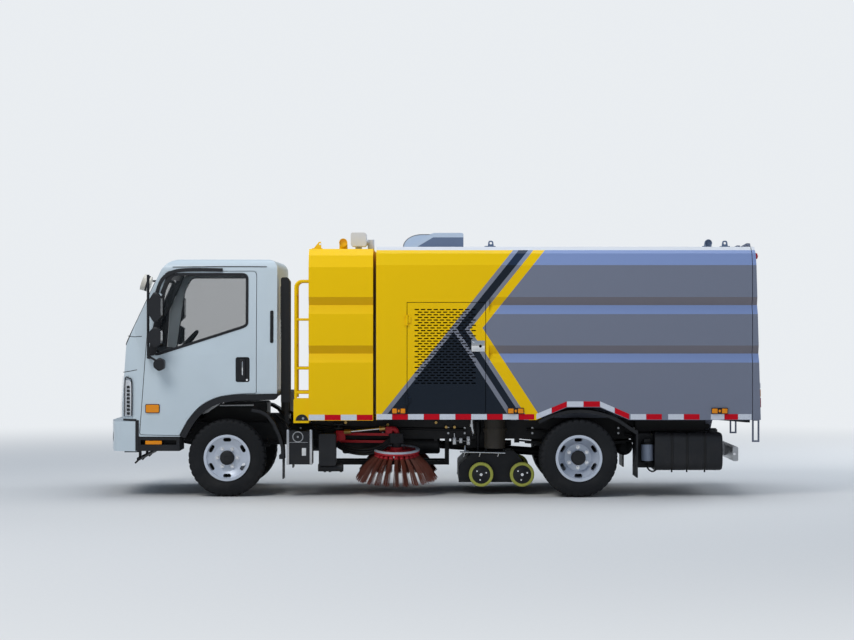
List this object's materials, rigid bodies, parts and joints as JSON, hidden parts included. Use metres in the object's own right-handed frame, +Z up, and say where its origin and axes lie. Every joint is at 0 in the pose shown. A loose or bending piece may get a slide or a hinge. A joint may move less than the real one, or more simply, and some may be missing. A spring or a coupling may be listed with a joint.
{
  "type": "street sweeper truck",
  "caption": "Street sweeper truck with a tilting cab, tipping refuse body, side brushes, a suction nozzle, opening doors and turning wheels.",
  "frame": {"origin": "on the ground below the middle of the overall length and width", "axes": "+X towards the rear, +Y towards the vehicle's right, +Z up"},
  "size_m": [6.24, 2.33, 2.5333],
  "materials": {
    "cab_paint": "gloss cab paint",
    "yellow_paint": "gloss yellow paint",
    "body_paint": "metallic grey paint with painted stripes",
    "chassis_paint": "black chassis paint",
    "red_paint": "dark red paint",
    "wheel_paint": "silver wheel paint",
    "tyre": "tyre rubber",
    "caster_tyre": "yellow-green polyurethane",
    "glass": "tinted window glass",
    "lamp_glass": "clear lamp lens",
    "black_plastic": "grained black plastic",
    "steel": "bright steel",
    "aluminium": "aluminium",
    "seat_fabric": "woven seat cloth",
    "brush_bristle": "brown-red bristles"
  },
  "bodies": {
    "chassis": {"frame_rails": "chassis_paint", "cross_members": "chassis_paint", "front_axle": "chassis_paint", "rear_axle": "chassis_paint", "drive_shaft": "chassis_paint", "engine": "steel", "mudguards": "black_plastic", "battery_box": "black_plastic", "air_tank": "chassis_paint", "fuel_tank": "black_plastic", "silencer": "chassis_paint", "hydraulic_tank": "chassis_paint", "drag_bars": "chassis_paint", "water_pump": "chassis_paint", "filter_canister": "aluminium", "underrun_bar": "steel", "tank_box": "yellow_paint", "tank_fittings": "yellow_paint", "ladder": "yellow_paint", "intake_duct": "black_plastic", "hydraulic_unit": "black_plastic", "suction_pipe": "black_plastic"},
    "cab": {"cab_shell": "cab_paint", "cab_glass": "glass", "bumper": "cab_paint", "headlamps": "lamp_glass", "cab_trim": "black_plastic", "dashboard": "black_plastic", "seat_left": "seat_fabric", "seat_right": "seat_fabric"},
    "tipping_body": {"body_shell": "body_paint", "fan_unit": "chassis_paint", "roof_fittings": "body_paint"},
    "tailgate": {"tailgate": "body_paint"},
    "nozzle": {"nozzle": "black_plastic"},
    "nozzle_wheels_front": {"nozzle_wheels_front": "caster_tyre"},
    "nozzle_wheels_rear": {"nozzle_wheels_rear": "caster_tyre"},
    "door_left": {"door_left": "cab_paint", "door_glass_left": "glass", "mirrors_left": "black_plastic"},
    "knuckle_left": {"knuckle_left": "chassis_paint"},
    "front_wheel_left": {"front_tyre_left": "tyre", "front_rim_left": "wheel_paint"},
    "rear_wheels_left": {"rear_tyres_left": "tyre", "rear_rims_left": "wheel_paint"},
    "grille_door_left": {"grille_door_left": "body_paint"},
    "brush_arm_left": {"brush_arm_left": "red_paint"},
    "brush_left": {"brush_left": "brush_bristle"},
    "door_right": {"door_right": "cab_paint", "door_glass_right": "glass", "mirrors_right": "black_plastic"},
    "knuckle_right": {"knuckle_right": "chassis_paint"},
    "front_wheel_right": {"front_tyre_right": "tyre", "front_rim_right": "wheel_paint"},
    "rear_wheels_right": {"rear_tyres_right": "tyre", "rear_rims_right": "wheel_paint"},
    "grille_door_right": {"grille_door_right": "body_paint"},
    "brush_arm_right": {"brush_arm_right": "red_paint"},
    "brush_right": {"brush_right": "brush_bristle"}
  },
  "joints": [
    {"name": "cab_tilt", "type": "hinge", "parent": "chassis", "child": "cab", "pos_m": [-2.83, 0, 0.64], "axis": [0, -1, 0], "range_deg": [0, 45]},
    {"name": "body_tip", "type": "hinge", "parent": "chassis", "child": "tipping_body", "pos_m": [2.66, 0, 0.655], "axis": [0, 1, 0], "range_deg": [0, 40]},
    {"name": "tailgate_lift", "type": "hinge", "parent": "tipping_body", "child": "tailgate", "pos_m": [3.026, 0, 2.414], "axis": [0, -1, 0], "range_deg": [0, 80]},
    {"name": "nozzle_lift", "type": "slide", "parent": "chassis", "child": "nozzle", "axis": [0, 0, 1], "range_m": [-0.075, 0]},
    {"name": "nozzle_wheels_front_spin", "type": "hinge", "parent": "nozzle", "child": "nozzle_wheels_front", "pos_m": [0.455, 0, 0.198], "axis": [0, 1, 0], "continuous": true},
    {"name": "nozzle_wheels_rear_spin", "type": "hinge", "parent": "nozzle", "child": "nozzle_wheels_rear", "pos_m": [0.851, 0, 0.198], "axis": [0, 1, 0], "continuous": true},
    {"name": "door_left_hinge", "type": "hinge", "parent": "cab", "child": "door_left", "pos_m": [-2.812, -0.934, 1.4], "axis": [0, 0, -1], "range_deg": [0, 70]},
    {"name": "steer_left", "type": "hinge", "parent": "chassis", "child": "knuckle_left", "pos_m": [-1.98, -0.68, 0.372], "axis": [0, 0, 1], "range_deg": [-35, 35]},
    {"name": "front_wheel_left_spin", "type": "hinge", "parent": "knuckle_left", "child": "front_wheel_left", "pos_m": [-1.98, -0.815, 0.372], "axis": [0, 1, 0], "continuous": true},
    {"name": "rear_wheels_left_spin", "type": "hinge", "parent": "chassis", "child": "rear_wheels_left", "pos_m": [1.38, -0.785, 0.372], "axis": [0, 1, 0], "continuous": true},
    {"name": "grille_door_left_hinge", "type": "hinge", "parent": "tipping_body", "child": "grille_door_left", "pos_m": [-0.257, -1.031, 1.31], "axis": [0, 0, -1], "range_deg": [0, 100]},
    {"name": "brush_arm_left_swing", "type": "hinge", "parent": "chassis", "child": "brush_arm_left", "pos_m": [-0.93, -0.5, 0.55], "axis": [0, 0, -1], "range_deg": [0, 30]},
    {"name": "brush_left_spin", "type": "hinge", "parent": "brush_arm_left", "child": "brush_left", "pos_m": [-0.362, -0.62, 0.434], "axis": [0, -0.1305, 0.9914], "continuous": true},
    {"name": "door_right_hinge", "type": "hinge", "parent": "cab", "child": "door_right", "pos_m": [-2.812, 0.934, 1.4], "axis": [0, 0, 1], "range_deg": [0, 70]},
    {"name": "steer_right", "type": "hinge", "parent": "chassis", "child": "knuckle_right", "pos_m": [-1.98, 0.68, 0.372], "axis": [0, 0, 1], "range_deg": [-35, 35]},
    {"name": "front_wheel_right_spin", "type": "hinge", "parent": "knuckle_right", "child": "front_wheel_right", "pos_m": [-1.98, 0.815, 0.372], "axis": [0, 1, 0], "continuous": true},
    {"name": "rear_wheels_right_spin", "type": "hinge", "parent": "chassis", "child": "rear_wheels_right", "pos_m": [1.38, 0.785, 0.372], "axis": [0, 1, 0], "continuous": true},
    {"name": "grille_door_right_hinge", "type": "hinge", "parent": "tipping_body", "child": "grille_door_right", "pos_m": [-0.257, 1.031, 1.31], "axis": [0, 0, 1], "range_deg": [0, 100]},
    {"name": "brush_arm_right_swing", "type": "hinge", "parent": "chassis", "child": "brush_arm_right", "pos_m": [-0.93, 0.5, 0.55], "axis": [0, 0, 1], "range_deg": [0, 30]},
    {"name": "brush_right_spin", "type": "hinge", "parent": "brush_arm_right", "child": "brush_right", "pos_m": [-0.362, 0.62, 0.434], "axis": [0, 0.1305, 0.9914], "continuous": true}
  ],
  "couplings": [
    {"joint": "steer_right", "follows": "steer_left", "ratio": 1}
  ]
}
